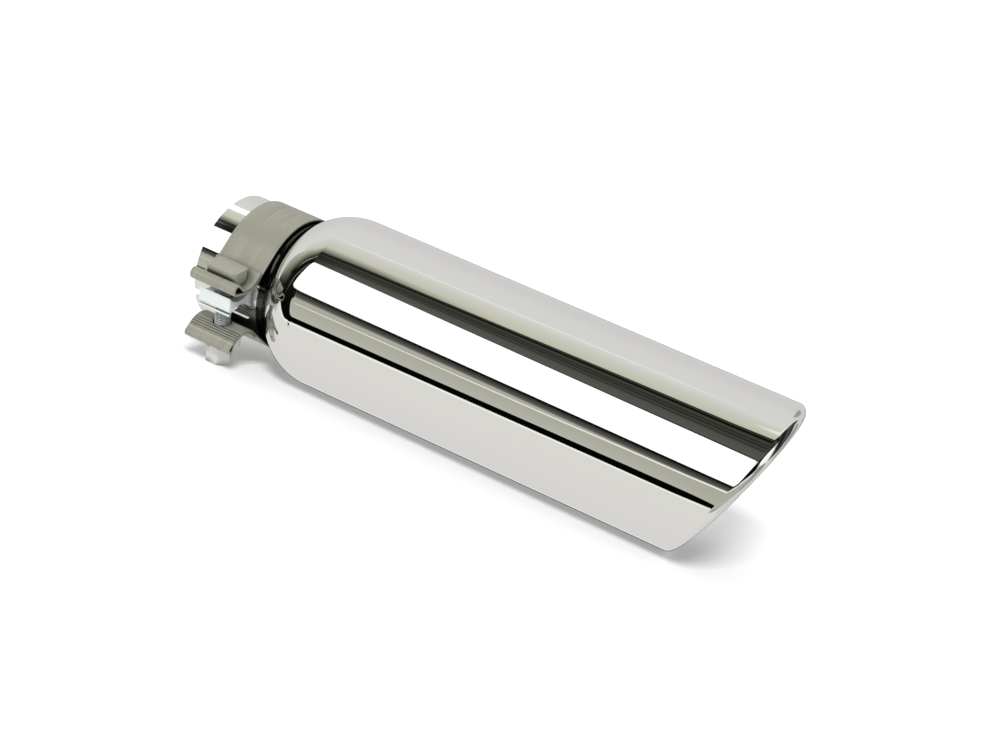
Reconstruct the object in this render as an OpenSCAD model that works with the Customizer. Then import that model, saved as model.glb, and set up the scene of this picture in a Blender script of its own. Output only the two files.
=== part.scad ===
// Clamp-on exhaust tip: a polished slash-cut barrel with a rolled edge, drawn down to a
// slotted inlet neck, and the wide band clamp that closes the neck on the pipe.
// The origin is the centre of the inlet mouth. +X runs along the tube to the outlet, +Z is up.
// The tip lies as it rests on a table, rolled until the clamp's nut touches the surface.

/* [Barrel] */
// Outside diameter of the barrel
barrel_d = 101.6; // [96:0.2:120]
// Length from the inlet mouth to the middle of the slash-cut edge
tip_length = 342; // [260:0.5:460]
// Thickness of the tip's sheet
wall = 1.5; // [1.2:0.1:2]
// Slope of the outlet's cut
slash_angle = 31; // [10:0.5:35]
// Where the longest side lies, as a turn about the tube from the clamp's split, in degrees
long_side_turn = -70; // [-110:1:-60]
// Outside radius of the rolled edge
roll_r = 4.5; // [3.5:0.25:7]
// How far the edge is rolled in, in degrees
roll_turn = 200; // [120:5:240]

/* [Shoulder] */
// Outside radius of the shoulder's round
shoulder_r = 37.5; // [18:0.5:44]
// Radius of the hollow between the neck and the shoulder
shoulder_hollow_r = 3; // [2:0.5:5]

/* [Neck] */
// Bore of the inlet neck
inlet_d = 73; // [70:0.2:74]
// Length of the straight neck
neck_length = 48.5; // [47.5:0.5:60]
// Number of slots in the neck
slot_count = 4; // [2:1:6]
// Width of a slot
slot_w = 5.5; // [3:0.5:8]
// Length of a slot from the mouth
slot_length = 40; // [30:1:44]
// First slot's place, as a turn about the tube from the clamp's split, in degrees
slot_turn = 14.5; // [5:0.5:20]

/* [Clamp band] */
// Width of the band along the tube
band_w = 32; // [26:0.5:32]
// Bare neck between the band and the shoulder
shoulder_gap = 2.2; // [1.5:0.1:6]
// Thickness of the band's sheet
sheet = 1.4; // [1:0.1:1.6]
// Slack between the neck and the open band
band_slack = 0.5; // [0.3:0.1:0.9]
// Half the distance between the crests of the two flanges
flange_half_gap = 12.7; // [12:0.1:16]
// Distance from the neck's outside to the bolt's axis, where the flanges have their crests
bolt_stand_off = 11; // [10:0.1:16]
// Bend radius of a flange's crest, in the middle of the sheet
crest_r = 12.5; // [11:0.5:14]
// Slope of the nut's flange outside its crest, in degrees
nut_flange_slope = 38; // [20:1:42]
// Straight length of the nut's flange outside its crest
nut_flange_tip = 5.6; // [4.6:0.1:7]
// Bend radius of the loop where the nut's flange folds back, in the middle of the sheet
nut_fold_r = 1.9; // [1.7:0.1:2.4]
// Slope of the head's flange outside its crest, in degrees
head_flange_slope = 10; // [6:1:24]
// Straight length of the head's flange outside its crest
head_flange_tip = 8.1; // [7.2:0.1:10]
// Bend radius of the loop where the head's flange folds back, in the middle of the sheet
head_fold_r = 2.8; // [1.8:0.1:3.1]
// How far a loop turns past straight back, in degrees
fold_pinch = 38; // [35:1:50]
// Gap between the two layers of a flange
layer_gap = 0.2; // [0.08:0.01:0.3]
// Straight length of the folded-back layer past the crest
fold_tail = 5; // [3:0.5:8]

/* [Reaction block] */
// Length of the block along the tube
block_l = 22; // [18:0.5:26]
// Height of the block's ends
block_h = 11.6; // [10.5:0.1:12.5]
// Thickness of the block's waist
block_waist = 2.8; // [2.4:0.1:4]
// Radius of the two hollows
block_hollow_r = 12.5; // [12:0.5:16]
// How far the block reaches past the bolt
block_overhang = 9.4; // [8:0.1:10]
// Height of the block above the middle of the clamp's gap
block_lift = 4.2; // [3.5:0.1:4.8]
// Clearance between the block and the neck
block_seat = 0.15; // [0.1:0.05:0.3]

/* [Bolt, saddle and nut] */
// Diameter of the bolt
bolt_d = 9.5; // [8:0.1:10]
// Diameter of the bolt holes in the flanges and the block
bolt_hole_d = 11; // [10.6:0.1:12]
// Length of the half-round head along the tube
head_l = 21; // [18:0.5:24]
// Width of the half-round head
head_w = 13.5; // [12:0.1:15]
// Depth of the half-round head
head_h = 8.7; // [8:0.1:12]
// Radius of the head's round
head_round_r = 7.6; // [7:0.1:10]
// Radius of the head's and the saddle's ends
head_corner_r = 3; // [2:0.5:5]
// Depth of the half-round saddle under the nut
saddle_h = 10.5; // [8:0.5:13]
// Height of the nut
nut_h = 11; // [9:0.5:13]
// Width of the nut across its flats
nut_flats = 14.3; // [13:0.1:15]
// Clearance between pieces that seat on each other
seat = 0.1; // [0.05:0.05:0.2]

/* [Hidden] */
$fn = 96;
arc_step = 4;            // degrees between the points of a computed arc
roll_sides = 80;         // sections of the rolled edge around the tube
roll_step = 20;          // degrees between its points across the roll
joint_lap = 0.8;         // how deep the rolled edge starts inside the barrel's wall
joint_inset = 0.06;      // how far its end stays inside the wall's faces
bolt_short = 0.5;        // how far the bolt's end stays inside the nut
thread_clear = 0.05;     // between the bolt and the nut, where the threads would engage

barrel_r = barrel_d / 2;
bore_r = inlet_d / 2;
neck_r = bore_r + wall;
far = tip_length + barrel_d;

band_r = neck_r + band_slack + sheet / 2;      // middle of the sheet
band_start = neck_length - shoulder_gap - band_w;
band_mid = band_start + band_w / 2;
crest_reach = neck_r + bolt_stand_off;         // from the tube's axis to the bolt's
layer = sheet + layer_gap;                     // step from one layer's middle to the next

// Where the sheet leaves the band's circle and meets the crest, on the line that touches both.
crest_centre = flange_half_gap + crest_r;
centre_gap = norm([crest_reach, crest_centre]);
leave_angle = atan2(crest_centre, crest_reach) + acos((band_r + crest_r) / centre_gap);
run_length = sqrt(centre_gap ^ 2 - (band_r + crest_r) ^ 2);

head_seat = flange_half_gap + layer + sheet / 2 + seat;   // from the clamp's middle to head or saddle
saddle_round_r = crest_r - layer - sheet / 2 - 2 * seat;  // round of the saddle, just under the crest's
nut_top = head_seat + saddle_h + seat;
nut_end = nut_top + nut_h;
nut_corner_r = nut_flats / 2 / cos(30);
nut_face_r = 0.94 * nut_flats / 2;

// The tip rolls on its barrel until the rim of the nut's end face is level with the barrel's underside.
rest_point = [crest_reach + nut_face_r, nut_end];
split_turn = 180 + asin(barrel_r / norm(rest_point)) - atan2(rest_point[1], rest_point[0]);
long_side = split_turn + long_side_turn;

// Points on an arc from angle a to angle b.
function arc(centre, r, a, b) =
    let (n = max(1, ceil(abs(b - a) / arc_step)))
    [for (i = [0:n]) centre + r * [cos(a + (b - a) * i / n), sin(a + (b - a) * i / n)]];

// Half section of the tip as [x, r]: the outside, or the inside when it is drawn one wall in.
function tip_line(inset) =
    let (hollow = shoulder_hollow_r + inset,
         round_r = shoulder_r - inset,
         slope = acos(1 - (barrel_r - neck_r) / (shoulder_hollow_r + shoulder_r)),
         reach = (shoulder_hollow_r + shoulder_r) * sin(slope))
    concat([[0, neck_r - inset]],
           arc([neck_length, neck_r + shoulder_hollow_r], hollow, -90, slope - 90),
           arc([neck_length + reach, barrel_r - shoulder_r], round_r, 90 + slope, 90),
           [[far, barrel_r - inset]]);

function reversed(list) = [for (i = [len(list) - 1:-1:0]) list[i]];

// Turns a shape drawn about Z so that its axis lies along X.
module along_x() {
    rotate([90, 0, 90]) children();
}

// Removes what lies past the slash cut, which crosses the axis at x.
module slash_off(x) {
    translate([x, 0, 0]) rotate([long_side - 90, 0, 0]) rotate([0, slash_angle, 0])
        translate([0, -barrel_d, -far]) cube([far, 2 * barrel_d, 2 * far]);
}

// A point of the rolled edge: turn is the place around the tube, along and down are measured
// from the cut line, square to it in the barrel's skin and towards the axis.
function roll_point(turn, along, down) =
    let (lean = tan(slash_angle) * sin(turn - long_side),
         out = along / sqrt(1 + lean ^ 2),
         radial = [0, cos(turn), sin(turn)],
         tangent = [0, -sin(turn), cos(turn)])
    [roll_start + barrel_r * tan(slash_angle) * cos(turn - long_side) + out, 0, 0]
    + (barrel_r - down) * radial + out * lean * tangent;

roll_start = tip_length - roll_r;
roll_n = ceil(roll_turn / roll_step);
roll_section = concat(
    [[-joint_lap, joint_inset]],
    [for (i = [0:roll_n]) let (a = roll_turn * i / roll_n)
        [roll_r * sin(a), roll_r - (roll_r - (i == 0 ? joint_inset : 0)) * cos(a)]],
    [for (i = [roll_n:-1:0]) let (a = roll_turn * i / roll_n)
        [(roll_r - wall) * sin(a), roll_r - (roll_r - wall + (i == 0 ? joint_inset : 0)) * cos(a)]],
    [[-joint_lap, wall - joint_inset]]);

// The barrel's end, rolled inwards along the slash cut.
module rolled_edge() {
    m = len(roll_section);
    points = [for (i = [0:roll_sides - 1], p = roll_section)
              roll_point(360 * i / roll_sides, p[0], p[1])];
    faces = [for (i = [0:roll_sides - 1], j = [0:m - 1])
        let (a = i * m + j, b = i * m + (j + 1) % m,
             c = (i + 1) % roll_sides * m + (j + 1) % m, d = (i + 1) % roll_sides * m + j)
        each [[a, b, c], [a, c, d]]];
    polyhedron(points, faces);
}

module slots() {
    for (i = [0:slot_count - 1])
        rotate([split_turn + slot_turn + 360 / slot_count * i, 0, 0]) {
            translate([-1, 0, -slot_w / 2]) cube([slot_length + 1 - slot_w / 2, neck_r + 1, slot_w]);
            translate([slot_length - slot_w / 2, 0, 0]) rotate([-90, 0, 0])
                cylinder(h = neck_r + 1, d = slot_w);
        }
}

module tip_shell() {
    color([0.86, 0.87, 0.86]) difference() {
        union() {
            difference() {
                along_x() rotate_extrude()
                    polygon([for (p = concat(tip_line(0), reversed(tip_line(wall)))) [p[1], p[0]]]);
                slash_off(roll_start);
            }
            rolled_edge();
        }
        slots();
    }
}

// Places what is drawn with X away from the tube through the clamp's split and Y down its bolt,
// and raised along Z from the inlet mouth.
module at_split() {
    rotate([split_turn, 0, 0]) rotate([90, 0, 90]) children();
}

// Follows a path of [straight length, bend radius, bend angle] steps and gives its points and headings.
function walk(steps, at, heading, i = 0) =
    i == len(steps) ? [] :
    let (run = at + steps[i][0] * [cos(heading), sin(heading)],
         r = steps[i][1], bend = steps[i][2],
         side = bend < 0 ? -1 : 1,
         centre = run + side * r * [-sin(heading), cos(heading)],
         n = max(1, ceil(abs(bend) / arc_step)),
         bent = [for (k = [1:n]) let (h = heading + bend * k / n)
                    [centre + side * r * [sin(h), -cos(h)], h]])
    concat([[run, heading]], bend == 0 ? [] : bent,
           walk(steps, bend == 0 ? run : bent[n - 1][0], heading + bend, i + 1));

// A strip of sheet with its middle on the path.
module strip(path) {
    side = function (p, s) p[0] + s * sheet / 2 * [-sin(p[1]), cos(p[1])];
    polygon(concat([for (p = path) side(p, 1)], reversed([for (p = path) side(p, -1)])));
}

// Half of the band's section: round the neck, out over the crest, and folded back on the outside.
module half_band(flange_slope, flange_tip, fold_r) {
    crest_turn = 90 - leave_angle + flange_slope;
    out = walk([[0, band_r, leave_angle - 180],
                [run_length, crest_r, crest_turn],
                [flange_tip, fold_r, 180 + fold_pinch]], [-band_r, 0], 90);
    loop_end = out[len(out) - 1];
    closing = (2 * fold_r * cos(fold_pinch) - layer) / sin(fold_pinch);
    used = 2 * fold_r * sin(fold_pinch) + closing * cos(fold_pinch);
    back = walk([[closing, fold_r, -fold_pinch],
                 [max(0.05, flange_tip - used), crest_r - layer, -crest_turn],
                 [fold_tail, fold_r, 0]], loop_end[0], loop_end[1]);
    strip(out);
    strip(concat([loop_end], back));
}

module band_section() {
    half_band(nut_flange_slope, nut_flange_tip, nut_fold_r);
    mirror([0, 1]) half_band(head_flange_slope, head_flange_tip, head_fold_r);
}

// A hole along the bolt's axis, through all that is drawn about the clamp's split.
module bolt_hole(d) {
    translate([crest_reach, 0, band_mid]) rotate([90, 0, 0])
        cylinder(h = 4 * nut_end, d = d, center = true);
}

module clamp_band() {
    color([0.63, 0.63, 0.59]) at_split() difference() {
        translate([0, 0, band_start]) linear_extrude(band_w) band_section();
        bolt_hole(bolt_hole_d);
    }
}

// The spacer between the flanges: tall ends, a thin waist for the bolt, and a seat on the neck.
module reaction_block() {
    color([0.80, 0.84, 0.82]) at_split() difference() {
        translate([0, 0, band_mid - block_l / 2]) linear_extrude(block_l) difference() {
            translate([0, -block_lift - block_h / 2]) square([crest_reach + block_overhang, block_h]);
            circle(neck_r + block_seat);
            for (side = [-1, 1])
                translate([crest_reach, side * (block_waist / 2 + block_hollow_r) - block_lift])
                    circle(block_hollow_r);
        }
        bolt_hole(bolt_hole_d);
    }
}

// Half-round bar across the clamp: its round lies in a flange's crest, its flat face looks outwards.
module half_round(l, w, h, round_r) {
    intersection() {
        translate([0, 0, -l / 2]) linear_extrude(l) intersection() {
            translate([crest_reach, head_seat + round_r]) circle(round_r);
            translate([crest_reach - w / 2, head_seat]) square([w, h]);
        }
        translate([crest_reach, head_seat + h + 1, 0]) rotate([90, 0, 0])
            linear_extrude(h + 2) rounded_bar(l, w);
    }
}

// Plan of the half-round bar, l long along the tube, with rounded corners.
module rounded_bar(l, w) {
    square([w, l - 2 * head_corner_r], center = true);
    square([w - 2 * head_corner_r, l], center = true);
    for (x = [-1, 1], y = [-1, 1])
        translate([x * (w / 2 - head_corner_r), y * (l / 2 - head_corner_r)]) circle(head_corner_r);
}

module clamp_bolt() {
    color([0.72, 0.74, 0.72]) at_split() {
        mirror([0, 1, 0]) translate([0, 0, band_mid]) half_round(head_l, head_w, head_h, head_round_r);
        translate([crest_reach, -head_seat - head_h / 2, band_mid]) rotate([-90, 0, 0])
            cylinder(h = head_seat + head_h / 2 + nut_end - bolt_short, d = bolt_d);
    }
}

module saddle_washer() {
    color([0.78, 0.79, 0.77]) at_split() difference() {
        translate([0, 0, band_mid]) half_round(head_l, head_w, saddle_h, saddle_round_r);
        bolt_hole(bolt_hole_d);
    }
}

// Hexagon nut with both ends chamfered, its flats square to the tube.
module clamp_nut() {
    chamfer = (nut_corner_r - nut_face_r) / 2;
    color([0.84, 0.86, 0.85]) at_split()
    translate([crest_reach, nut_top, band_mid]) rotate([-90, 0, 0]) difference() {
        intersection() {
            rotate([0, 0, 30]) cylinder(h = nut_h, r = nut_corner_r, $fn = 6);
            rotate_extrude() polygon([[0, 0], [nut_face_r, 0], [nut_corner_r, chamfer],
                                      [nut_corner_r, nut_h - chamfer], [nut_face_r, nut_h], [0, nut_h]]);
        }
        translate([0, 0, -1]) cylinder(h = nut_h + 2, d = bolt_d + 2 * thread_clear);
    }
}

tip_shell();
clamp_band();
reaction_block();
clamp_bolt();
saddle_washer();
clamp_nut();
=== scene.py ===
import bpy, bmesh
from math import acos, atan2, cos, degrees, hypot, pi, radians, sin, sqrt, tan
from mathutils import Matrix, Vector


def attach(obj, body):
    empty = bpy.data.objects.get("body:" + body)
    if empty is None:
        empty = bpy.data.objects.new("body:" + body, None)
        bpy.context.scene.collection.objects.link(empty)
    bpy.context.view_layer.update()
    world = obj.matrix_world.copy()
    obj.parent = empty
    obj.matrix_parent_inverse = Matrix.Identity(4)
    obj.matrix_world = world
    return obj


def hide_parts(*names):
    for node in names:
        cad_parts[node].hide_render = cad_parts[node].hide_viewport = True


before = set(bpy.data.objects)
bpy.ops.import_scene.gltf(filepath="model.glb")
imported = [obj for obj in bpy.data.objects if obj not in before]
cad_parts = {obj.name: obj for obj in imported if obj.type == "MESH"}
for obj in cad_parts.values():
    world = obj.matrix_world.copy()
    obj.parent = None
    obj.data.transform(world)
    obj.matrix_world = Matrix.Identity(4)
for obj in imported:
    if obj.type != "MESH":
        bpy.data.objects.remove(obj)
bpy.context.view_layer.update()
mm = 0.001
root = "root"
print("frame loaded")


# mesh helpers: sizes are given in mm, meshes are in metres

def toMesh(name, points, faces):
    mesh = bpy.data.meshes.new(name)
    mesh.from_pydata([tuple(c * mm for c in p) for p in points], [], faces)
    mesh.validate()
    piece = bpy.data.objects.new(name, mesh)
    bpy.context.scene.collection.objects.link(piece)
    mesh.shade_smooth()
    return piece

def settle(piece, sharpAngle=35):
    # keeps what the modifiers made and marks the creases
    graph = bpy.context.evaluated_depsgraph_get()
    made = bpy.data.meshes.new_from_object(piece.evaluated_get(graph))
    piece.modifiers.clear()
    old = piece.data
    piece.data = made
    made.name = piece.name
    bpy.data.meshes.remove(old)
    made.shade_smooth()
    made.set_sharp_from_angle(angle=radians(sharpAngle))

def combine(piece, other, how):
    step = piece.modifiers.new(how, "BOOLEAN")
    step.operation, step.solver, step.object = how, "EXACT", other
    settle(piece)
    bpy.data.objects.remove(other)

def roundEdges(piece, width, segments=3, angle=35):
    step = piece.modifiers.new("round", "BEVEL")
    step.width, step.segments, step.limit_method = width * mm, segments, "ANGLE"
    step.angle_limit = radians(angle)
    step.harden_normals = False
    settle(piece, 50)

def outward(piece):
    # every face's front looks out of the solid
    mesh = bmesh.new()
    mesh.from_mesh(piece.data)
    bmesh.ops.recalc_face_normals(mesh, faces=mesh.faces)
    mesh.to_mesh(piece.data)
    mesh.free()

def tubeFaces(rows, around):
    # the sides between rings of points, each with as many points around
    made = []
    for j in range(rows - 1):
        for i in range(around):
            k = (i + 1) % around
            made.append((j * around + i, j * around + k, (j + 1) * around + k, (j + 1) * around + i))
    return made

def endCaps(rows, around):
    last = (rows - 1) * around
    return [tuple(reversed(range(around))), tuple(range(last, last + around))]

def prism(name, outline, low, high):
    # outline in X and Y, drawn counter-clockwise, raised along Z
    n = len(outline)
    points = [(x, y, low) for x, y in outline] + [(x, y, high) for x, y in outline]
    return toMesh(name, points, endCaps(2, n) + tubeFaces(2, n))

def circleOutline(x, y, r, sides=96):
    return [(x + r * cos(2 * pi * i / sides), y + r * sin(2 * pi * i / sides)) for i in range(sides)]

def turned(piece, matrix):
    piece.data.transform(matrix)
    return piece

def moved(x, y, z):
    return Matrix.Translation(Vector((x, y, z)) * mm)

def finish(piece, nodeName, material):
    piece.data.materials.clear()
    piece.data.materials.append(material)
    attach(piece, root)
    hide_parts(nodeName)
    print(nodeName, "made,", len(piece.data.polygons), "faces")


# material helpers

def newMaterial(name):
    material = bpy.data.materials.new(name)
    material.use_nodes = True
    tree = material.node_tree
    return material, tree, tree.nodes["Principled BSDF"]

def bareMaterial(name):
    material = bpy.data.materials.new(name)
    material.use_nodes = True
    material.node_tree.nodes.clear()
    return material, material.node_tree

def node(tree, kind, **values):
    made = tree.nodes.new(kind)
    for key, value in values.items():
        if key.startswith("in"):
            made.inputs[int(key[2:])].default_value = value
        else:
            setattr(made, key, value)
    return made

def ramp(tree, source, stops):
    made = tree.nodes.new("ShaderNodeValToRGB")
    while len(made.color_ramp.elements) < len(stops):
        made.color_ramp.elements.new(0.5)
    for element, (place, value) in zip(made.color_ramp.elements, stops):
        element.position = place
        element.color = (*value, 1) if hasattr(value, "__len__") else (value, value, value, 1)
    tree.links.new(source, made.inputs[0])
    return made.outputs[0]

def stretchedNoise(tree, coordinates, scale, detail=3, rough=0.6):
    place = node(tree, "ShaderNodeMapping")
    place.inputs["Scale"].default_value = scale
    tree.links.new(coordinates, place.inputs[0])
    noise = node(tree, "ShaderNodeTexNoise")
    noise.inputs["Scale"].default_value = 1
    noise.inputs["Detail"].default_value = detail
    noise.inputs["Roughness"].default_value = rough
    tree.links.new(place.outputs[0], noise.inputs["Vector"])
    return noise.outputs["Fac"]

def mixed(tree, amount, first, second):
    # first and second are colours or outputs, amount goes from first to second
    made = node(tree, "ShaderNodeMix", data_type="RGBA")
    tree.links.new(amount, made.inputs["Factor"])
    for value, socket in ((first, made.inputs["A"]), (second, made.inputs["B"])):
        if isinstance(value, tuple):
            socket.default_value = (*value, 1)
        else:
            tree.links.new(value, socket)
    return made.outputs["Result"]

def multiplied(tree, first, second):
    made = node(tree, "ShaderNodeMix", data_type="RGBA", blend_type="MULTIPLY")
    made.inputs["Factor"].default_value = 1
    tree.links.new(first, made.inputs["A"])
    tree.links.new(second, made.inputs["B"])
    return made.outputs["Result"]

def rising(tree, source, start, end):
    # from 0 at start to 1 at end
    made = node(tree, "ShaderNodeMapRange")
    for name, value in (("From Min", start), ("From Max", end), ("To Min", 0), ("To Max", 1)):
        made.inputs[name].default_value = value
    tree.links.new(source, made.inputs["Value"])
    return made.outputs[0]

def under(tree, source, limit):
    # 1 where the source is under the limit
    made = node(tree, "ShaderNodeMath", operation="LESS_THAN", in1=limit)
    tree.links.new(source, made.inputs[0])
    return made.outputs[0]

def firstOf(tree, coordinates):
    made = node(tree, "ShaderNodeSeparateXYZ")
    tree.links.new(coordinates, made.inputs[0])
    return made.outputs[0]

def paintedShade(tree, source, amount, reach):
    # painted shade: what lies close to other parts is painted darker, by how near the other parts are
    close = node(tree, "ShaderNodeAmbientOcclusion", samples=8)
    close.inputs["Distance"].default_value = reach
    return multiplied(tree, source, ramp(tree, close.outputs["AO"], [(0.30, 1 - amount), (0.90, 1)]))

def bump(tree, height, strength, distance, shader):
    made = node(tree, "ShaderNodeBump")
    made.inputs["Strength"].default_value = strength
    made.inputs["Distance"].default_value = distance
    tree.links.new(height, made.inputs["Height"])
    tree.links.new(made.outputs[0], shader.inputs["Normal"])


# polished stainless of the tip: a mirror outside with faint polishing lines and painted shade in the crease
# beside the band, dull inside and painted dark there as painted shade
polish = {
    "color": (0.90, 0.90, 0.885), "cloud": 0.985,           # cloud is the darkest share of the colour
    # painted shade: the tube's inside is painted dark
    "inside": (0.10, 0.10, 0.095),
    "clean": 0.02, "hazy": 0.05, "insideRough": 0.5,        # roughness where clean, where wiped, and inside
    "lines": 0.5, "lineDepth": 0.0000015,
    "creaseShadeSpan": (0.0445, 0.0500, 0.0525),     # painted shade in the crease beside the band: start, end and faded out, in m
    "creaseShadeColor": (0.07, 0.07, 0.065),
}

def polishedStainless():
    material, tree, shader = newMaterial("polishedStainless")
    coordinates = node(tree, "ShaderNodeTexCoord")
    place, normal = coordinates.outputs["Object"], coordinates.outputs["Normal"]
    wiped = stretchedNoise(tree, place, (6, 60, 60), 4)
    tone = stretchedNoise(tree, place, (3, 25, 25), 2)
    base = polish["color"]
    outside = ramp(tree, tone, [(0.35, tuple(c * polish["cloud"] for c in base)), (0.65, base)])

    # the inner surface, painted dark as painted shade, is the one whose normal points at the tube's axis
    across = node(tree, "ShaderNodeVectorMath", operation="MULTIPLY")
    across.inputs[1].default_value = (0, 1, 1)
    tree.links.new(place, across.inputs[0])
    radial = node(tree, "ShaderNodeVectorMath", operation="NORMALIZE")
    tree.links.new(across.outputs[0], radial.inputs[0])
    facing = node(tree, "ShaderNodeVectorMath", operation="DOT_PRODUCT")
    tree.links.new(radial.outputs[0], facing.inputs[0])
    tree.links.new(normal, facing.inputs[1])
    inner = rising(tree, facing.outputs["Value"], -0.35, -0.55)

    # clear of the painted crease shade on either side
    along = firstOf(tree, place)
    start, end, faded = polish["creaseShadeSpan"]
    clear = node(tree, "ShaderNodeMath", operation="MAXIMUM")
    tree.links.new(rising(tree, along, end, faded), clear.inputs[0])
    tree.links.new(under(tree, along, start), clear.inputs[1])
    skin = mixed(tree, clear.outputs[0], polish["creaseShadeColor"], outside)

    tree.links.new(mixed(tree, inner, skin, polish["inside"]), shader.inputs["Base Color"])
    rough = ramp(tree, wiped, [(0.4, polish["clean"]), (0.75, polish["hazy"])])
    tree.links.new(mixed(tree, inner, rough, (polish["insideRough"],) * 3), shader.inputs["Roughness"])
    shader.inputs["Metallic"].default_value = 1
    bump(tree, stretchedNoise(tree, place, (2, 900, 900), 2), polish["lines"], polish["lineDepth"], shader)
    return material


# brushed sheet of the clamp's band: fine lines along the strip, dull, with painted reflection streaks at a
# bend, then a painted shade line and a painted highlight line
brushed = {
    "color": (0.50, 0.50, 0.41), "dark": 0.62,              # dark is the share of the colour in a line
    "metallic": 0.55, "smooth": 0.42, "rough": 0.58,
    "lines": 0.5, "lineDepth": 0.00002,
    "creviceShade": 0.9, "creviceShadeReach": 0.008,                  # painted shade: how much darker near other parts, and how near
    "marks": (0.2848, 0.0100),      # painted reflection streaks at the bend, then a painted shade line and a painted highlight: their start along the strip and their length, in m
    "streakCount": 4, "streakStep": 0.15,
}

def brushedSheet():
    material, tree, shader = newMaterial("brushedSheet")
    coordinates = node(tree, "ShaderNodeTexCoord").outputs["UV"]
    lines = stretchedNoise(tree, coordinates, (25, 2600, 1), 4, 0.7)
    base = brushed["color"]
    sheet = ramp(tree, lines, [(0.3, tuple(c * brushed["dark"] for c in base)), (0.7, base)])

    start, length = brushed["marks"]
    along = rising(tree, firstOf(tree, coordinates), start, start + length)
    # painted reflection streaks, then a painted shade line and a painted highlight
    marks = [(0, 1)]
    for i in range(brushed["streakCount"]):
        at = brushed["streakStep"] * i
        marks += [(at + 0.05, 1), (at + 0.08, 0.2), (at + 0.11, 0.25), (at + 0.14, 1)]
    marks += [(0.66, 0.65), (0.74, 1.2), (0.84, 1.2), (0.95, 1)]    # a painted soft shade line and a painted highlight line
    withPaintedStreaks = multiplied(tree, sheet, ramp(tree, along, marks))

    # painted shade near other parts
    withPaintedShade = paintedShade(tree, withPaintedStreaks, brushed["creviceShade"], brushed["creviceShadeReach"])
    tree.links.new(withPaintedShade, shader.inputs["Base Color"])
    patches = stretchedNoise(tree, coordinates, (90, 160, 1), 3)
    rough = ramp(tree, patches, [(0.35, brushed["smooth"]), (0.7, brushed["rough"])])
    tree.links.new(rough, shader.inputs["Roughness"])
    shader.inputs["Metallic"].default_value = brushed["metallic"]
    bump(tree, lines, brushed["lines"], brushed["lineDepth"], shader)
    return material


# zinc plate, milky to bright: what all zinc-plated pieces share; each piece's own values are with it
# the plate is painted darker near other parts, as painted shade
zinc = {"cloud": 0.95, "creviceShade": 0.85, "grainDepth": 0.00002, "roughSpan": (-0.04, 0.06)}

def zincTone(tree, coordinates, color):
    cloud = stretchedNoise(tree, coordinates, (120, 120, 120), 3)
    return ramp(tree, cloud, [(0.3, tuple(c * zinc["cloud"] for c in color)), (0.7, color)])

def zincPlate(name, color, metallic, rough, grain, reach=0.006, tone=zincTone):
    material, tree, shader = newMaterial(name)
    coordinates = node(tree, "ShaderNodeTexCoord").outputs["Object"]
    # painted shade near other parts, reaching as far as reach
    plate = paintedShade(tree, tone(tree, coordinates, color), zinc["creviceShade"], reach)
    tree.links.new(plate, shader.inputs["Base Color"])
    grains = stretchedNoise(tree, coordinates, (900, 900, 900), 3, 0.6)
    low, high = zinc["roughSpan"]
    dull = ramp(tree, grains, [(0.3, rough + low), (0.7, rough + high)])
    tree.links.new(dull, shader.inputs["Roughness"])
    shader.inputs["Metallic"].default_value = metallic
    bump(tree, grains, grain, zinc["grainDepth"], shader)
    return material


# sizes that the pieces share, in mm and degrees, as in the CAD model
neck = {"radius": 38, "length": 48.5}
clamp = {
    "turn": 196.215,        # where the clamp's split lies about the tube
    "bandStart": 14.3, "bandWidth": 32, "sheet": 1.4, "layerGap": 0.2, "slack": 0.5,
    "halfGap": 12.7, "reach": 49, "crestRadius": 12.5, "seat": 0.1,
    "holeRadius": 5.5,
}
clamp["middle"] = clamp["bandStart"] + clamp["bandWidth"] / 2
clamp["layer"] = clamp["sheet"] + clamp["layerGap"]
clamp["headSeat"] = clamp["halfGap"] + clamp["layer"] + clamp["sheet"] / 2 + clamp["seat"]
clamp["saddleRadius"] = clamp["crestRadius"] - clamp["layer"] - clamp["sheet"] / 2 - 2 * clamp["seat"]

# X away from the tube through the split, Y down the bolt, Z along the tube
split = radians(clamp["turn"])
atSplit = Matrix((
    (0, 0, 1, 0), (cos(split), -sin(split), 0, 0), (sin(split), cos(split), 0, 0), (0, 0, 0, 1)))

def boltHole(piece):
    # a hole along the bolt's axis
    hole = prism("hole", circleOutline(0, 0, clamp["holeRadius"], 64), -60, 60)
    turned(hole, moved(clamp["reach"], 0, clamp["middle"]) @ Matrix.Rotation(pi / 2, 4, "X"))
    combine(piece, hole, "DIFFERENCE")


# tip: neck, shoulder, barrel, rolled slash-cut edge
tip = {
    "barrelRadius": 50.8, "length": 342, "wall": 1.5,
    "slash": 31, "longSide": clamp["turn"] - 70,
    "shoulderRadius": 37.5, "hollowRadius": 3,
    "rollRadius": 4.5, "rollTurn": 200,
    "slotCount": 4, "slotWidth": 5.5, "slotLength": 40, "slotTurn": 14.5,
    "columns": 420, "neckRows": 10, "hollowRows": 12, "shoulderRows": 32, "barrelRows": 12, "rollRows": 40,
}

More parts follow.
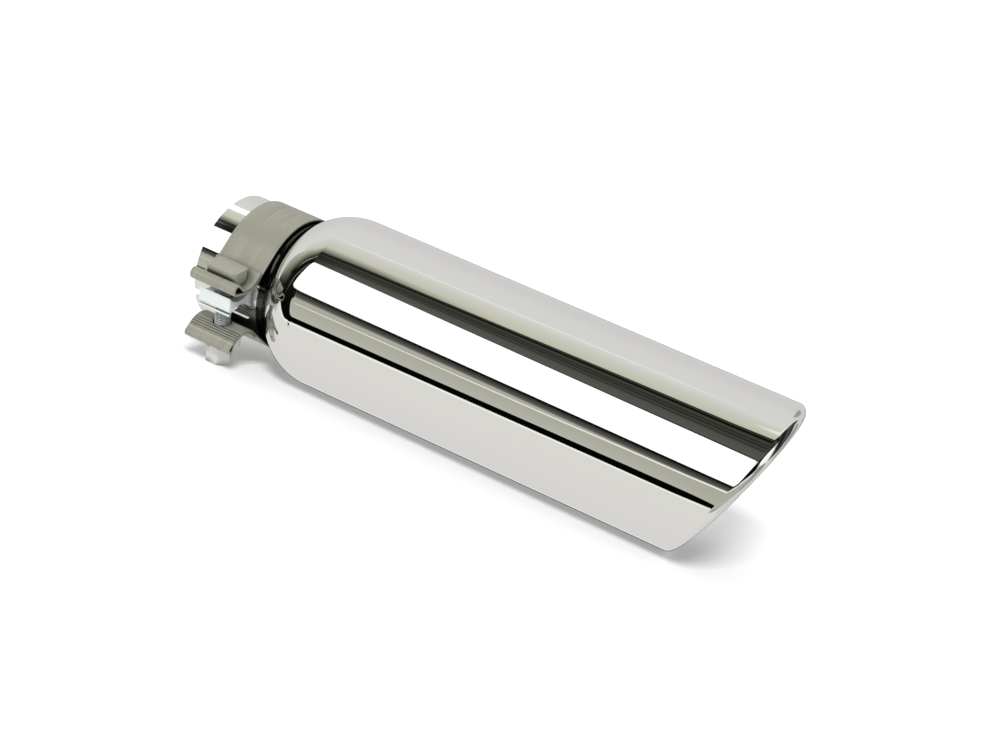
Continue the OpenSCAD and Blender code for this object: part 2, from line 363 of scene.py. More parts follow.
def tipShell():
    r, wall, count = tip["barrelRadius"], tip["wall"], tip["columns"]
    slope = acos(1 - (r - neck["radius"]) / (tip["hollowRadius"] + tip["shoulderRadius"]))
    reach = (tip["hollowRadius"] + tip["shoulderRadius"]) * sin(slope)
    lean = tan(radians(tip["slash"]))
    longSide = radians(tip["longSide"])
    rollStart = tip["length"] - tip["rollRadius"]
    angles = [2 * pi * i / count for i in range(count)]

    def line(inset):
        # distances along the tube and radii, from the mouth to the end of the shoulder
        rows = tip["neckRows"]
        made = [(neck["length"] * i / rows, neck["radius"] - inset) for i in range(rows)]
        hollow, shoulder = tip["hollowRadius"] + inset, tip["shoulderRadius"] - inset
        for i in range(tip["hollowRows"] + 1):
            a = slope * i / tip["hollowRows"]
            away = neck["radius"] + tip["hollowRadius"] - hollow * cos(a)
            made.append((neck["length"] + hollow * sin(a), away))
        for i in range(1, tip["shoulderRows"] + 1):
            a = slope * (1 - i / tip["shoulderRows"])
            away = r - tip["shoulderRadius"] + shoulder * cos(a)
            made.append((neck["length"] + reach - shoulder * sin(a), away))
        return made

    def ring(x, radius):
        return [(x, radius * cos(a), radius * sin(a)) for a in angles]

    def barrelRing(x0, t, radius):
        # slants more and more towards the cut line
        made = []
        for a in angles:
            cut = rollStart + r * lean * cos(a - longSide)
            made.append((x0 + t * (cut - x0), radius * cos(a), radius * sin(a)))
        return made

    def rollRing(b, radius):
        return [cutPoint(a, radius * sin(b), tip["rollRadius"] - radius * cos(b)) for a in angles]

    def cutPoint(a, along, down):
        # along and down are measured from the cut line, square to it in the skin and towards the axis
        side = lean * sin(a - longSide)
        out = along / sqrt(1 + side * side)
        radial, around = Vector((0, cos(a), sin(a))), Vector((0, -sin(a), cos(a)))
        place = Vector((rollStart + r * lean * cos(a - longSide) + out, 0, 0))
        return tuple(place + (r - down) * radial + out * side * around)

    outer, inner = line(0), line(wall)
    barrel = [i / tip["barrelRows"] for i in range(1, tip["barrelRows"])]
    roll = [radians(tip["rollTurn"]) * i / tip["rollRows"] for i in range(tip["rollRows"] + 1)]
    rings = [ring(x, radius) for x, radius in outer]
    rings += [barrelRing(outer[-1][0], t, r) for t in barrel]
    rings += [rollRing(b, tip["rollRadius"]) for b in roll]
    rings += [rollRing(b, tip["rollRadius"] - wall) for b in reversed(roll)]
    rings += [barrelRing(inner[-1][0], t, r - wall) for t in reversed(barrel)]
    rings += [ring(x, radius) for x, radius in reversed(inner)]

    points = [p for made in rings for p in made]
    faces = tubeFaces(len(rings), count)
    last = (len(rings) - 1) * count
    faces += [(last + i, last + (i + 1) % count, (i + 1) % count, i) for i in range(count)]     # the mouth
    piece = toMesh("polishedTip", points, faces)
    piece.data.flip_normals()

    half, end = tip["slotWidth"] / 2, tip["slotLength"] - tip["slotWidth"] / 2
    outline = [(-1, -half), (end, -half)]
    for a in range(10, 180, 10):
        outline.append((end + half * sin(radians(a)), -half * cos(radians(a))))
    outline += [(end, half), (-1, half)]
    for i in range(tip["slotCount"]):
        cutter = prism("slot", outline, neck["radius"] - 6, neck["radius"] + 3)
        a = clamp["turn"] + tip["slotTurn"] + 360 / tip["slotCount"] * i - 90
        combine(piece, turned(cutter, Matrix.Rotation(radians(a), 4, "X")), "DIFFERENCE")
    return piece

finish(tipShell(), "tip_shell", polishedStainless())


# clamp band: one strip round the neck, out over both crests and folded back
band = {
    "foldPinch": 38, "foldTail": 5,
    "nut": {"slope": 38, "tip": 5.6, "fold": 1.9}, "head": {"slope": 10, "tip": 8.1, "fold": 2.8},
    "edgeRadius": 0.3, "step": 1.5,     # step is the longest between two points, in mm or degrees
}

def walk(steps, place, heading):
    # points and headings along straight lengths and bends
    made = [(Vector(place), heading)]
    for length, radius, bend in steps:
        along = Vector((cos(radians(heading)), sin(radians(heading))))
        start = made[-1][0]
        count = max(1, int(length / band["step"]))
        made += [(start + along * length * i / count, heading) for i in range(1, count + 1) if length]
        if bend:
            side = -1 if bend < 0 else 1
            centre = start + along * length + side * radius * Vector((-along.y, along.x))
            count = max(1, int(abs(bend) / band["step"]))
            for i in range(1, count + 1):
                h = heading + bend * i / count
                made.append((centre + side * radius * Vector((sin(radians(h)), -cos(radians(h)))), h))
            heading += bend
    return made

def halfBand(flange):
    # round the neck, out over the crest, and folded back on the outside
    r = neck["radius"] + clamp["slack"] + clamp["sheet"] / 2
    crest, fold, pinch = clamp["crestRadius"], flange["fold"], radians(band["foldPinch"])
    centre = clamp["halfGap"] + crest
    between = hypot(clamp["reach"], centre)
    leave = degrees(atan2(centre, clamp["reach"]) + acos((r + crest) / between))
    run = sqrt(between ** 2 - (r + crest) ** 2)
    crestTurn = 90 - leave + flange["slope"]
    closing = (2 * fold * cos(pinch) - clamp["layer"]) / sin(pinch)
    used = 2 * fold * sin(pinch) + closing * cos(pinch)
    steps = [
        (0, r, leave - 180),
        (run, crest, crestTurn),
        (flange["tip"], fold, 180 + band["foldPinch"]),
        (closing, fold, -band["foldPinch"]),
        (flange["tip"] - used, crest - clamp["layer"], -crestTurn),
        (band["foldTail"], fold, 0)]
    return walk(steps, (-r, 0), 90)

def stripSection():
    # side offset and height, once round the strip, with rounded corners and rows across its faces
    half, edge = clamp["sheet"] / 2, band["edgeRadius"]
    low, high = clamp["bandStart"], clamp["bandStart"] + clamp["bandWidth"]
    made = []
    for side, end, start in ((1, -1, 0), (-1, -1, 270), (-1, 1, 180), (1, 1, 90)):
        middle = (side * (half - edge), low + edge if end < 0 else high - edge)
        for i in range(4):
            a = radians(start - 30 * i)
            made.append((middle[0] + edge * cos(a), middle[1] + edge * sin(a)))
        if side == end:
            far = high - edge if end < 0 else low + edge
            made += [(side * half, middle[1] + (far - middle[1]) * i / 8) for i in range(1, 8)]
    return made

def clampBand():
    # the head's half is seen from the other end, so it is walked backwards
    upper = [(Vector((p.x, -p.y)), 180 - h) for p, h in halfBand(band["head"])]
    path = list(reversed(upper)) + halfBand(band["nut"])[1:]
    section = stripSection()
    n = len(section)
    points, uvs, length = [], [], 0
    for i, (p, h) in enumerate(path):
        if i:
            length += (p - path[i - 1][0]).length
        normal = Vector((-sin(radians(h)), cos(radians(h))))
        for side, z in section:
            points.append((p.x + side * normal.x, p.y + side * normal.y, z))
            uvs.append((length * mm, z * mm))
    piece = toMesh("bandStrip", points, tubeFaces(len(path), n) + endCaps(len(path), n))
    layer = piece.data.uv_layers.new(name="strip")
    for loop in piece.data.loops:
        layer.data[loop.index].uv = uvs[loop.vertex_index]
    outward(piece)
    boltHole(piece)
    return turned(piece, atSplit)

finish(clampBand(), "clamp_band", brushedSheet())


# reaction block between the flanges
block = {
    "length": 22, "height": 11.6, "waist": 2.8, "hollowRadius": 12.5, "overhang": 9.4, "lift": 4.2,
    "seat": 0.15, "edge": 0.12, "inner": 20,        # inner is where it starts, before the neck is cut out
    "grooveUp": 1.3, "grooveWidth": 1.6, "grooveDepth": 1.6,
    "plating": {"color": (0.82, 0.875, 0.86), "metallic": 0.3, "rough": 0.38, "grain": 0.1},
}

def reactionBlock():
    low, high = -block["lift"] - block["height"] / 2, -block["lift"] + block["height"] / 2
    left, right = block["inner"], clamp["reach"] + block["overhang"]
    zLow, zHigh = clamp["middle"] - block["length"] / 2, clamp["middle"] + block["length"] / 2
    piece = prism("spacerBlock", [(left, low), (right, low), (right, high), (left, high)], zLow, zHigh)
    seat = circleOutline(0, 0, neck["radius"] + block["seat"], 360)
    combine(piece, prism("seat", seat, zLow - 5, zHigh + 5), "DIFFERENCE")
    for side in (-1, 1):
        middle = side * (block["waist"] / 2 + block["hollowRadius"]) - block["lift"]
        hollow = circleOutline(clamp["reach"], middle, block["hollowRadius"], 180)
        combine(piece, prism("hollow", hollow, zLow - 5, zHigh + 5), "DIFFERENCE")
    boltHole(piece)
    end = high - block["grooveUp"]
    start = end - block["grooveWidth"]
    inner = right - block["grooveDepth"]
    groove = [(inner, start), (right + 1, start), (right + 1, end), (inner, end)]
    combine(piece, prism("groove", groove, zLow - 1, zHigh + 1), "DIFFERENCE")
    roundEdges(piece, block["edge"])
    return turned(piece, atSplit)

finish(reactionBlock(), "reaction_block", zincPlate("zincBlock", **block["plating"]))


# bolt with its half-round head, saddle and nut
bolt = {
    "radius": 4.75, "edge": 0.5,
    "headLength": 21, "headWidth": 13.5, "headHeight": 8.7, "headRound": 7.6, "cornerRadius": 3,
    "pitch": 1.6, "threadDepth": 1.0, "ridge": 1.35, "plain": 3, "short": 0.5,      # short of the nut's end
    "grooveShade": 0.04, "headColor": (0.42, 0.42, 0.36),
    # reach is how far the painted shade near other parts reaches
    "plating": {
        "color": (0.84, 0.90, 0.88), "metallic": 0.55, "rough": 0.34, "grain": 0.2, "reach": 0.0025},
}
saddle = {
    "height": 10.5,
    "plating": {"color": (0.72, 0.74, 0.72), "metallic": 0.7, "rough": 0.32, "grain": 0.2},
}
nut = {
    "height": 11, "flats": 14.3, "boreClearance": 0.05, "edge": 0.5,
    "face": 0.94,           # the end face's share of the flats
    "plating": {"color": (0.88, 0.87, 0.845), "metallic": 0.25, "rough": 0.45, "grain": 0.1},
}
nutTop = clamp["headSeat"] + saddle["height"] + clamp["seat"]

def halfRound(name, height, r):
    # its round lies in a flange's crest, its flat face looks outwards
    x, y = clamp["reach"], clamp["headSeat"] + r
    length, width, corner = bolt["headLength"], bolt["headWidth"], bolt["cornerRadius"]
    piece = prism(name, circleOutline(x, y, r, 240), -length, length)
    plan = []
    for cx, cy, start in ((1, 1, 0), (-1, 1, 90), (-1, -1, 180), (1, -1, 270)):
        for i in range(13):
            a = radians(start + 7.5 * i)
            x1, y1 = cx * (width / 2 - corner), cy * (length / 2 - corner)
            plan.append((x1 + corner * cos(a), y1 + corner * sin(a)))
    bar = prism("plan", plan, -height, 0)
    turned(bar, moved(x, clamp["headSeat"], 0) @ Matrix.Rotation(pi / 2, 4, "X"))
    combine(piece, bar, "INTERSECT")
    return turned(piece, moved(0, 0, clamp["middle"]))

def threadedShank(start, plainEnd, end):
    # a plain length, then a thread whose ridge winds along Y
    around, perPitch = 48, 10
    r, depth, pitch = bolt["radius"], bolt["threadDepth"], bolt["pitch"]
    rows = int((end - plainEnd) / pitch * perPitch)
    levels = [start] + [plainEnd + (end - plainEnd) * i / rows for i in range(rows + 1)]
    points = []
    for j, y in enumerate(levels):
        fade = max(0, min(1, (end - y) / pitch, (y - plainEnd) / pitch))    # both ends run out
        for i in range(around):
            a = 2 * pi * i / around
            phase = (y / pitch - i / around) % 1
            groove = min(1, abs(2 * phase - 1) * bolt["ridge"])
            radius = r - depth if j == rows + 1 else r - depth * groove * fade
            points.append((radius * cos(a), y, radius * sin(a)))
    piece = toMesh("shank", points, tubeFaces(len(levels), around) + endCaps(len(levels), around))
    outward(piece)
    return turned(piece, moved(clamp["reach"], 0, clamp["middle"]))

def clampBolt():
    piece = halfRound("headedBolt", bolt["headHeight"], bolt["headRound"])
    turned(piece, Matrix.Diagonal((1, -1, 1, 1)))
    piece.data.flip_normals()
    roundEdges(piece, bolt["edge"])
    top, end = -clamp["headSeat"], nutTop + nut["height"] - bolt["short"]
    shank = threadedShank(top - bolt["headHeight"] / 2, top + bolt["plain"], end)
    joined = bmesh.new()
    joined.from_mesh(piece.data)
    joined.from_mesh(shank.data)
    joined.to_mesh(piece.data)
    joined.free()
    bpy.data.objects.remove(shank)
    piece.data.set_sharp_from_angle(angle=radians(50))
    return turned(piece, atSplit)

def boltTone(tree, coordinates, color):
    # painted shade in the grooves between the thread's ridges, and a darker head, which lies beyond its
    # seat
    bulge = node(tree, "ShaderNodeNewGeometry").outputs["Pointiness"]
    ridges = ramp(tree, bulge, [(0.40, 0), (0.495, 1)])
    dark = tuple(c * bolt["grooveShade"] for c in color)
    plate = mixed(tree, ridges, dark, zincTone(tree, coordinates, color))
    down = node(tree, "ShaderNodeVectorMath", operation="DOT_PRODUCT")
    down.inputs[1].default_value = tuple(atSplit.col[1][:3])
    tree.links.new(coordinates, down.inputs[0])
    isHead = under(tree, down.outputs["Value"], -clamp["headSeat"] * mm)
    return mixed(tree, isHead, plate, bolt["headColor"])

def saddleWasher():
    piece = halfRound("saddle", saddle["height"], clamp["saddleRadius"])
    boltHole(piece)
    roundEdges(piece, bolt["edge"])
    return turned(piece, atSplit)

def clampNut():
    # a hexagon bar inside a round one with both ends chamfered
    h, corner, face = nut["height"], nut["flats"] / 2 / cos(pi / 6), nut["face"] * nut["flats"] / 2
    piece = prism("hexNut", circleOutline(0, 0, corner, 6), 0, h)
    turned(piece, Matrix.Rotation(pi / 6, 4, "Z"))
    rise, n = (corner - face) / 2, 120
    levels = [(0, face), (rise, corner), (h - rise, corner), (h, face)]
    points = [(r * cos(2 * pi * i / n), r * sin(2 * pi * i / n), z) for z, r in levels for i in range(n)]
    combine(piece, toMesh("chamfers", points, tubeFaces(4, n) + endCaps(4, n)), "INTERSECT")
    bore = circleOutline(0, 0, bolt["radius"] + nut["boreClearance"], 64)
    combine(piece, prism("bore", bore, -1, h + 1), "DIFFERENCE")
    roundEdges(piece, nut["edge"], 4, 25)
    turned(piece, moved(clamp["reach"], nutTop, clamp["middle"]) @ Matrix.Rotation(-pi / 2, 4, "X"))
    return turned(piece, atSplit)

finish(clampBolt(), "clamp_bolt", zincPlate("zincBolt", tone=boltTone, **bolt["plating"]))
finish(saddleWasher(), "saddle_washer", zincPlate("zincSaddle", **saddle["plating"]))
finish(clampNut(), "clamp_nut", zincPlate("zincNut", **nut["plating"]))


# camera: the photograph's view of the tip, turned with it about the tube's axis
shot = {
    "aim": (0.18565, 0, 0), "around": 34.79, "above": 39.74, "lying": clamp["turn"] - 167.2,
    "distance": 1.6524, "focal": 107.52,
}

def placeCamera():
    look = Matrix.Rotation(radians(shot["lying"]), 4, "X")
    look = look @ Matrix.Rotation(radians(shot["around"]), 4, "Z")
    look = look @ Matrix.Rotation(radians(90 - shot["above"]), 4, "X")
    data = bpy.data.cameras.new("camera")
    data.lens, data.sensor_width = shot["focal"], 36
    data.clip_start, data.clip_end = 0.05, 60
    camera = bpy.data.objects.new("camera", data)
    bpy.context.scene.collection.objects.link(camera)
    back = look.to_3x3() @ Vector((0, 0, shot["distance"]))
    camera.matrix_world = Matrix.Translation(Vector(shot["aim"]) + back) @ look
    bpy.context.scene.camera = camera

placeCamera()
print("camera placed")


# floor: pale, keeps the shadow, shows as white to the camera and lets mirrors see the studio
floor = {"size": 14, "color": 0.92, "lift": 0.16}

def makeFloor():
    s, z = floor["size"] / mm, -tip["barrelRadius"]
    piece = toMesh("floor", [(-s, -s, z), (s, -s, z), (s, s, z), (-s, s, z)], [(0, 1, 2, 3)])
    piece.visible_glossy = False
    material, tree = bareMaterial("paleFloor")
    matte = node(tree, "ShaderNodeBsdfDiffuse", in0=(floor["color"],) * 3 + (1,))
    glow = node(tree, "ShaderNodeEmission", in0=(1, 1, 1, 1))
    amount = node(tree, "ShaderNodeMath", operation="MULTIPLY", in1=floor["lift"])
    tree.links.new(node(tree, "ShaderNodeLightPath").outputs["Is Camera Ray"], amount.inputs[0])
    tree.links.new(amount.outputs[0], glow.inputs["Strength"])
    both = node(tree, "ShaderNodeAddShader")
    tree.links.new(matte.outputs[0], both.inputs[0])
    tree.links.new(glow.outputs[0], both.inputs[1])
    tree.links.new(both.outputs[0], node(tree, "ShaderNodeOutputMaterial").inputs[0])
    piece.data.materials.append(material)

makeFloor()
print("floor laid")


# studio: reflector cards far off, seen by mirrors only, each nearer than the one before. A row is a
# lean along the tube and the turns about it between which the card reaches. Shades are given across
# the card, from 0 to 1. Edges and ends say which share fades out at its sides and at its end rows.
cards = {
    "room": {
        "shade": [(0, (0.66, 0.65, 0.65))],
        "rows": [(-0.999, 0, 360), (0.999, 0, 360)]},
    "topGlow": {
        "edges": (0.5, 0.02),
        "shade": [(0, (0.7, 0.69, 0.685)), (1, (0.74, 0.735, 0.715))],
        "rows": [(-0.97, 20, 100), (-0.45, 20, 92), (0.3, 20, 90)]},
    "warmFade": {
        "edges": (0.35, 0),
        "shade": [
            (0, (0.72, 0.715, 0.68)), (0.35, (0.66, 0.66, 0.59)), (0.7, (0.6, 0.6, 0.5)),
            (1, (0.53, 0.53, 0.42))],
        "rows": [
            (-0.86, 82, 124), (-0.55, 80, 116), (-0.45, 78, 110), (-0.38, 76, 106), (0.0, 76, 100),
            (0.25, 70, 86)]},
    "topLine": {
        "edges": (0.4, 0.4), "ends": (0.3, 0.3),
        "shade": [(0, (0.95, 0.95, 0.92))],
        "rows": [(-0.53, 83, 84.6), (-0.45, 79, 80.6), (-0.38, 75, 76.6), (-0.34, 73, 74)]},
    "frontSweep": {
        "edges": (0, 0.12),
        "shade": [
            (0, (0.77, 0.765, 0.725)), (0.3, (0.775, 0.76, 0.74)), (0.8, (0.72, 0.71, 0.7)),
            (1, (0.62, 0.61, 0.6))],
        "rows": [(-0.95, 205, 338), (0.0, 212, 338), (0.5, 205, 330)]},
    "farEnd": {
        "edges": (0.06, 0.06), "ends": (0, 0.1),
        "shade": [
            (0, (0.42, 0.42, 0.36)), (0.15, (0.35, 0.35, 0.29)), (0.3, (0.2, 0.2, 0.16)),
            (0.45, (0.08, 0.08, 0.065)), (0.6, (0.01, 0.01, 0.008)), (1, (0.02, 0.02, 0.02))],
        "rows": [(-0.9995, 80, 270), (-0.94, 90, 235), (-0.9, 95, 215), (-0.84, 100, 208)]},
    "oliveFade": {
        "edges": (0.2, 0), "ends": (0.15, 0.1),
        "shade": [
            (0, (0.55, 0.55, 0.47)), (0.2, (0.47, 0.47, 0.38)), (0.55, (0.2, 0.2, 0.155)),
            (0.85, (0.045, 0.045, 0.032)), (1, (0.006, 0.006, 0.004))],
        "rows": [
            (-0.95, 96, 150), (-0.88, 98, 145), (-0.8, 100, 132), (-0.7, 103, 124), (-0.6, 103, 121),
            (-0.5, 100, 115), (-0.44, 99, 109)]},
    "darkPanel": {
        "across": 120, "edges": (0.03, 0),
        "shade": [
            (0, (0.002, 0.002, 0.001)), (0.05, (0.002, 0.002, 0.001)), (0.08, (0.07, 0.07, 0.06)),
            (0.11, (0.004, 0.004, 0.003)), (0.18, (0.004, 0.004, 0.003)), (0.22, (0.06, 0.058, 0.05)),
            (0.3, (0.05, 0.048, 0.04)), (0.33, (0.014, 0.014, 0.011)), (0.38, (0.055, 0.053, 0.045)),
            (0.46, (0.02, 0.02, 0.016)), (0.52, (0.07, 0.068, 0.06)), (0.58, (0.03, 0.03, 0.025)),
            (0.66, (0.085, 0.083, 0.074)), (0.94, (0.1, 0.098, 0.09)), (0.97, (0.02, 0.02, 0.018)),
            (1, (0.004, 0.004, 0.003))],
        "rows": [
            (-0.53, 112, 130), (-0.5, 110, 129.5), (-0.45, 106, 131), (-0.4, 102.5, 132.5),
            (-0.36, 101, 133.5), (-0.2, 98, 138), (0.0, 94, 140), (0.2, 94, 141), (0.5, 96, 140)]},
    "panelBlack": {
        "edges": (0.06, 0), "ends": (0.08, 0.1),
        "shade": [(0, (0.006, 0.006, 0.004)), (0.5, (0.006, 0.006, 0.005)), (1, (0.001, 0.001, 0.001))],
        "rows": [
            (-0.92, 144, 196), (-0.86, 138, 208), (-0.8, 130, 213), (-0.7, 122, 216.5),
            (-0.6, 118, 214.5), (-0.52, 113.5, 213.2), (-0.485, 111, 130)]},
    "greyStreak": {
        "edges": (0.4, 0.4), "ends": (0.2, 0.2),
        "shade": [(0, (0.13, 0.13, 0.12))],
        "rows": [
            (-0.86, 174, 197), (-0.83, 158, 180), (-0.79, 149, 158), (-0.74, 142, 149),
            (-0.67, 134.5, 139.5), (-0.6, 129, 132)]},
    "below": {
        "shade": [
            (0, (0.001, 0.001, 0.001)), (0.18, (0.002, 0.002, 0.002)), (0.42, (0.05, 0.049, 0.045)),
            (0.75, (0.1, 0.098, 0.088)), (0.9, (0.22, 0.22, 0.19)), (1, (0.42, 0.42, 0.36))],
        "rows": [
            (-0.6, 169, 181), (-0.52, 170, 181), (-0.45, 171.5, 182), (-0.38, 173, 183.5),
            (-0.3, 174.5, 183.5), (-0.2, 176, 184), (0.0, 176.5, 184), (0.3, 178, 185)]},
    "softbox": {
        "edges": (0.01, 0.01),
        "shade": [(0, (1.35, 1.35, 1.35))],
        "rows": [
            (-0.75, 164.5, 165.5), (-0.735, 160, 167.5), (-0.7, 151, 169.5), (-0.65, 142.5, 170),
            (-0.6, 134.5, 170.3), (-0.55, 130, 170.5), (-0.51, 128.3, 170.8), (-0.45, 130.5, 172),
            (-0.38, 132.8, 173.2), (-0.3, 135, 174.5), (-0.2, 138, 175.5), (-0.1, 142, 175.5),
            (-0.02, 147, 174), (0.03, 153, 169)]},
    "greyGreen": {
        "edges": (0.05, 0.02),
        "shade": [(0, (0.44, 0.44, 0.36)), (0.5, (0.46, 0.46, 0.39)), (1, (0.5, 0.5, 0.44))],
        "rows": [
            (-0.645, 186, 191), (-0.62, 182.5, 197), (-0.58, 180.5, 203.5), (-0.52, 180.2, 205.5),
            (-0.45, 181.5, 204.5), (-0.38, 183, 203), (-0.33, 183.5, 212), (-0.2, 184, 220),
            (0.1, 186, 228), (0.4, 188, 234), (0.85, 190, 236)]},
    "greenLine": {
        "edges": (0.3, 0.3), "ends": (0.1, 0.05),
        "shade": [(0, (0.98, 0.98, 0.93))],
        "rows": [
            (-0.6, 188, 189.4), (-0.45, 186.2, 187.6), (-0.41, 185, 186.8), (-0.38, 183.4, 185.4),
            (-0.34, 182.6, 185), (-0.2, 182, 186), (0.0, 182.5, 188), (0.3, 184, 190), (0.6, 183, 190),
            (0.75, 181, 189), (0.87, 177, 186)]},
    "rightBlack": {
        "edges": (0.05, 0.02),
        "shade": [(0, (0.001, 0.001, 0.0005))],
        "rows": [
            (-0.64, 206, 212), (-0.52, 205.5, 213), (-0.45, 204.2, 212), (-0.4, 202.8, 211),
            (-0.36, 202.3, 210.7), (-0.33, 203.5, 210), (-0.3, 206, 209)]},
    "brightLine": {
        "edges": (0.3, 0.3), "ends": (0.05, 0.1),
        "shade": [(0, (1.0, 1.0, 0.96))],
        "rows": [
            (-0.87, 213, 217.5), (-0.8, 216.5, 220), (-0.7, 216.5, 219.5), (-0.6, 214.5, 217.5),
            (-0.5, 213.2, 216), (-0.45, 212, 214.8), (-0.4, 211, 213.4), (-0.36, 210.7, 213),
            (-0.32, 210, 213), (-0.28, 208, 212)]},
    "lipLine": {
        "edges": (0.25, 0.25), "ends": (0.1, 0.1),
        "shade": [(0, (0.98, 0.98, 0.95))],
        "rows": [(-0.34, 89, 93), (-0.2, 79, 92), (-0.08, 76, 86), (0.0, 73, 78)]},
    "lipGrey": {
        "edges": (0.25, 0.25), "ends": (0.1, 0.1),
        "shade": [(0, (0.35, 0.35, 0.34))],
        "rows": [(-0.32, 30, 55), (-0.2, 25, 58), (0.0, 22, 52), (0.14, 24, 44)]},
    "lipDark": {
        "edges": (0.05, 0.05), "ends": (0.05, 0),
        "shade": [
            (0, (0.08, 0.08, 0.075)), (0.3, (0.03, 0.03, 0.027)), (0.5, (0.1, 0.1, 0.09)),
            (0.65, (0.008, 0.008, 0.007)), (1, (0.03, 0.03, 0.025))],
        "rows": [
            (-0.03, 83, 94), (0.08, 77, 96), (0.18, 62, 96), (0.27, 44, 98), (0.33, 33, 98),
            (0.45, 42, 100), (0.6, 38, 104), (0.8, 22, 108), (0.97, 5, 110)]},
    "lipBlack": {
        "edges": (0.04, 0.02),
        "shade": [(0, (0.002, 0.002, 0.002))],
        "rows": [
            (0.07, 150, 177), (0.14, 143, 181), (0.25, 120, 181), (0.35, 116, 180), (0.43, 116, 179),
            (0.5, 138, 178.5), (0.6, 150, 177.5), (0.7, 158, 176), (0.77, 165, 173)]},
    "endWhite": {
        "edges": (0.05, 0.05),
        "shade": [(0, (1.1, 1.1, 1.08))],
        "rows": [
            (0.44, 124, 136), (0.5, 116, 144), (0.56, 112, 148), (0.66, 110, 153), (0.76, 112, 157),
            (0.9, 116, 158)]},
    "rimGrey": {
        "edges": (0.1, 0.1), "ends": (0.1, 0.1),
        "shade": [(0, (0.33, 0.33, 0.32))],
        "rows": [(0.4, 350, 376), (0.48, 345, 392), (0.6, 334, 390), (0.72, 330, 388), (0.82, 335, 380)]},
    "rimLine": {
        "edges": (0.2, 0.2), "ends": (0.1, 0),
        "shade": [(0, (0.28, 0.28, 0.25))],
        "rows": [
            (-0.15, 217, 221), (0.1, 222, 227), (0.3, 228, 233), (0.45, 231, 236), (0.58, 229, 235),
            (0.71, 231, 240), (0.8, 232, 252), (0.87, 205, 288)]},
    "nearEnd": {
        "ends": (0.15, 0),
        "shade": [
            (0, (0.3, 0.3, 0.29)), (0.04, (0.05, 0.05, 0.045)), (0.28, (0.02, 0.02, 0.018)),
            (0.32, (0.9, 0.9, 0.88)), (0.43, (0.9, 0.9, 0.88)), (0.48, (0.15, 0.15, 0.14)),
            (0.6, (0.33, 0.33, 0.31)), (0.82, (0.34, 0.34, 0.33)), (0.9, (0.7, 0.7, 0.68)),
            (0.97, (0.68, 0.68, 0.66)), (1, (0.3, 0.3, 0.29))],
        "rows": [(0.86, 0, 360), (0.9995, 0, 360)]},
    "underLine": {
        "edges": (0.2, 0),
        "shade": [(0, (0.84, 0.84, 0.83))],
        "rows": [(-0.97, 320, 328), (0.2, 320, 328)]},
    "underDark": {
        "edges": (0.05, 0),
        "shade": [(0, (0.03, 0.03, 0.03)), (0.8, (0.03, 0.03, 0.03)), (1, (0.25, 0.25, 0.25))],
        "rows": [(-0.97, 328, 343), (0.2, 328, 343)]},
    "overGrey": {
        "edges": (0, 0.3),
        "shade": [(0, (0.3, 0.295, 0.31)), (1, (0.55, 0.54, 0.55))],
        "rows": [(-0.97, 343, 362), (0.2, 343, 362)]},
}
cardsFrom = 60          # how far off the first card is, in m
cardsAcross = 48        # faces across a card that doesn't give its own number

def between(stops, place):
    # a value from (place, value) stops, evenly between each two
    for (a, low), (b, high) in zip(stops, stops[1:]):
        if place <= b:
            t = max(0, (place - a) / (b - a))
            return tuple(x + (y - x) * t for x, y in zip(low, high))
    return stops[-1][1]

def smoothRows(rows, step=0.02):
    # rows on a smooth curve through those given
    slopes = []
    for i in range(len(rows)):
        before, after = rows[max(0, i - 1)], rows[min(len(rows) - 1, i + 1)]
        slopes.append([(b - a) / (after[0] - before[0]) for a, b in zip(before[1:], after[1:])])
    made = []
    for (low, high), (slopeLow, slopeHigh) in zip(zip(rows, rows[1:]), zip(slopes, slopes[1:])):
        width = high[0] - low[0]
        count = max(3, int(width / step))
        for i in range(count):
            t = i / count
            row = [low[0] + width * t]
            for a, b, m, n in zip(low[1:], high[1:], slopeLow, slopeHigh):
                row.append((2 * t ** 3 - 3 * t ** 2 + 1) * a + (t ** 3 - 2 * t ** 2 + t) * m * width
                           + (3 * t ** 2 - 2 * t ** 3) * b + (t ** 3 - t ** 2) * n * width)
            made.append(row)
    return made + [list(rows[-1])]

def fading(place, first, last):
    low = min(1, place / first) if first else 1
    high = min(1, (1 - place) / last) if last else 1
    t = max(0, min(low, high))
    return t * t * (3 - 2 * t)

def cardGlow(name):
    # glows in the colours of its mesh; fades with their alpha, and after a bounce off a dull surface,
    # so that such surfaces aren't lit by a card's mirror image
    material, tree = bareMaterial(name)
    shade = node(tree, "ShaderNodeAttribute", attribute_name="shade")
    glow = node(tree, "ShaderNodeEmission")
    tree.links.new(shade.outputs["Color"], glow.inputs["Color"])
    direct = node(tree, "ShaderNodeMath", operation="SUBTRACT", use_clamp=True, in0=1)
    tree.links.new(node(tree, "ShaderNodeLightPath").outputs["Diffuse Depth"], direct.inputs[1])
    share = node(tree, "ShaderNodeMath", operation="MULTIPLY")
    tree.links.new(direct.outputs[0], share.inputs[0])
    tree.links.new(shade.outputs["Alpha"], share.inputs[1])
    seen = node(tree, "ShaderNodeMixShader")
    tree.links.new(share.outputs[0], seen.inputs[0])
    tree.links.new(node(tree, "ShaderNodeBsdfTransparent").outputs[0], seen.inputs[1])
    tree.links.new(glow.outputs[0], seen.inputs[2])
    tree.links.new(seen.outputs[0], node(tree, "ShaderNodeOutputMaterial").inputs[0])
    return material

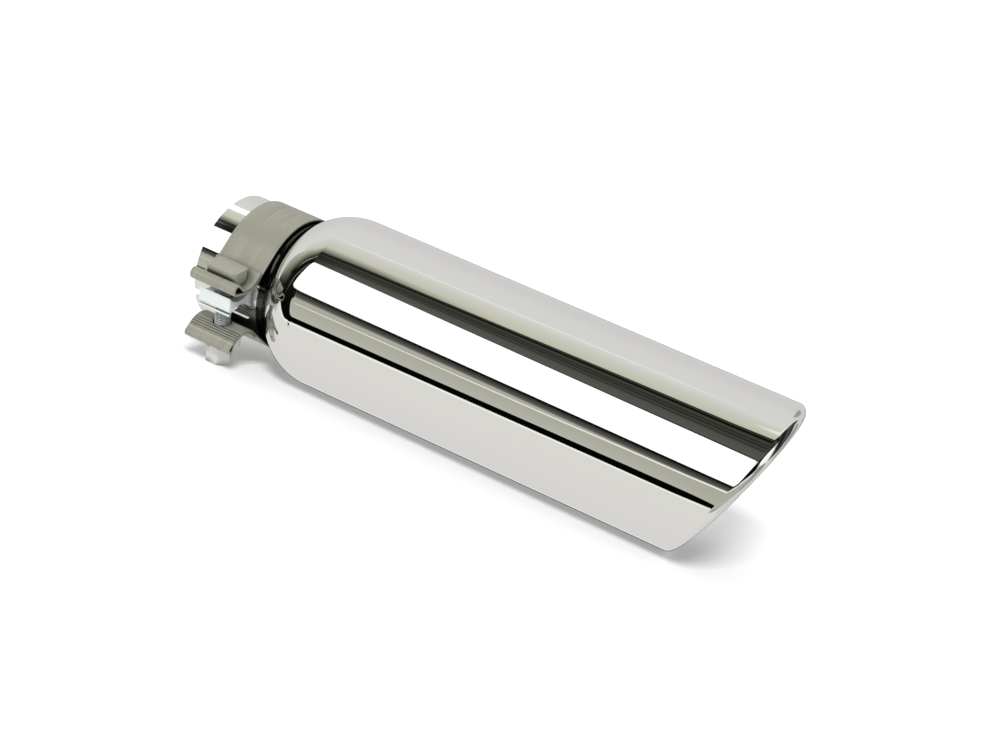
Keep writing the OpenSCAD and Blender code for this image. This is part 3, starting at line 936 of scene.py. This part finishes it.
def makeCard(name, card, far):
    rows, across = smoothRows(card["rows"]), card.get("across", cardsAcross)
    first, last = rows[0][0], rows[-1][0]
    points, shades = [], []
    for lean, start, end in rows:
        spread = sqrt(1 - lean * lean)
        endFade = fading((lean - first) / (last - first), *card.get("ends", (0, 0)))
        for i in range(across + 1):
            a = radians(start + (end - start) * i / across)
            points.append(tuple(far / mm * c for c in (lean, spread * cos(a), spread * sin(a))))
            edgeFade = fading(i / across, *card.get("edges", (0, 0)))
            shades += [*between(card["shade"], i / across), endFade * edgeFade]
    n = across + 1
    faces = []
    for j in range(len(rows) - 1):
        faces += [(j * n + i, j * n + i + 1, (j + 1) * n + i + 1, (j + 1) * n + i) for i in range(across)]
    piece = toMesh(name, points, faces)
    piece.data.color_attributes.new("shade", "FLOAT_COLOR", "POINT").data.foreach_set("color", shades)
    piece.visible_camera = piece.visible_diffuse = piece.visible_shadow = False
    piece.visible_transmission = piece.visible_volume_scatter = False
    piece.data.materials.append(cardGlow(name))

for place, (cardName, card) in enumerate(cards.items()):
    makeCard("card_" + cardName, card, cardsFrom - place)
print("studio cards placed")


# light: an even dome, which mirrors see as a grey room, and a broad soft lamp high in front
light = {
    "dome": 0.64,
    "room": (0.66, 0.65, 0.65), "mirrored": (0.30, 0.30, 0.31),     # for mirrors, and after a dull bounce
    "sunFrom": (0.42, -1.0, 0.95), "sunSpread": 16, "sunPower": 2.4,
}

def makeLight():
    world = bpy.data.worlds.new("room")
    bpy.context.scene.world = world
    world.use_nodes = True
    tree = world.node_tree
    path = node(tree, "ShaderNodeLightPath").outputs
    dome = (light["dome"],) * 3
    mirrors = mixed(tree, path["Diffuse Depth"], light["room"], light["mirrored"])
    lit = mixed(tree, path["Is Glossy Ray"], dome, mirrors)
    seen = mixed(tree, path["Is Camera Ray"], lit, (1, 1, 1))
    tree.links.new(seen, tree.nodes["Background"].inputs["Color"])
    data = bpy.data.lights.new("softSun", "SUN")
    data.angle, data.energy = radians(light["sunSpread"]), light["sunPower"]
    lamp = bpy.data.objects.new("softSun", data)
    bpy.context.scene.collection.objects.link(lamp)
    lamp.rotation_mode = "QUATERNION"
    lamp.rotation_quaternion = (-Vector(light["sunFrom"])).to_track_quat("-Z", "Y")
    lamp.visible_glossy = False

makeLight()
bpy.context.scene.view_settings.view_transform = "Standard"
print("light set")
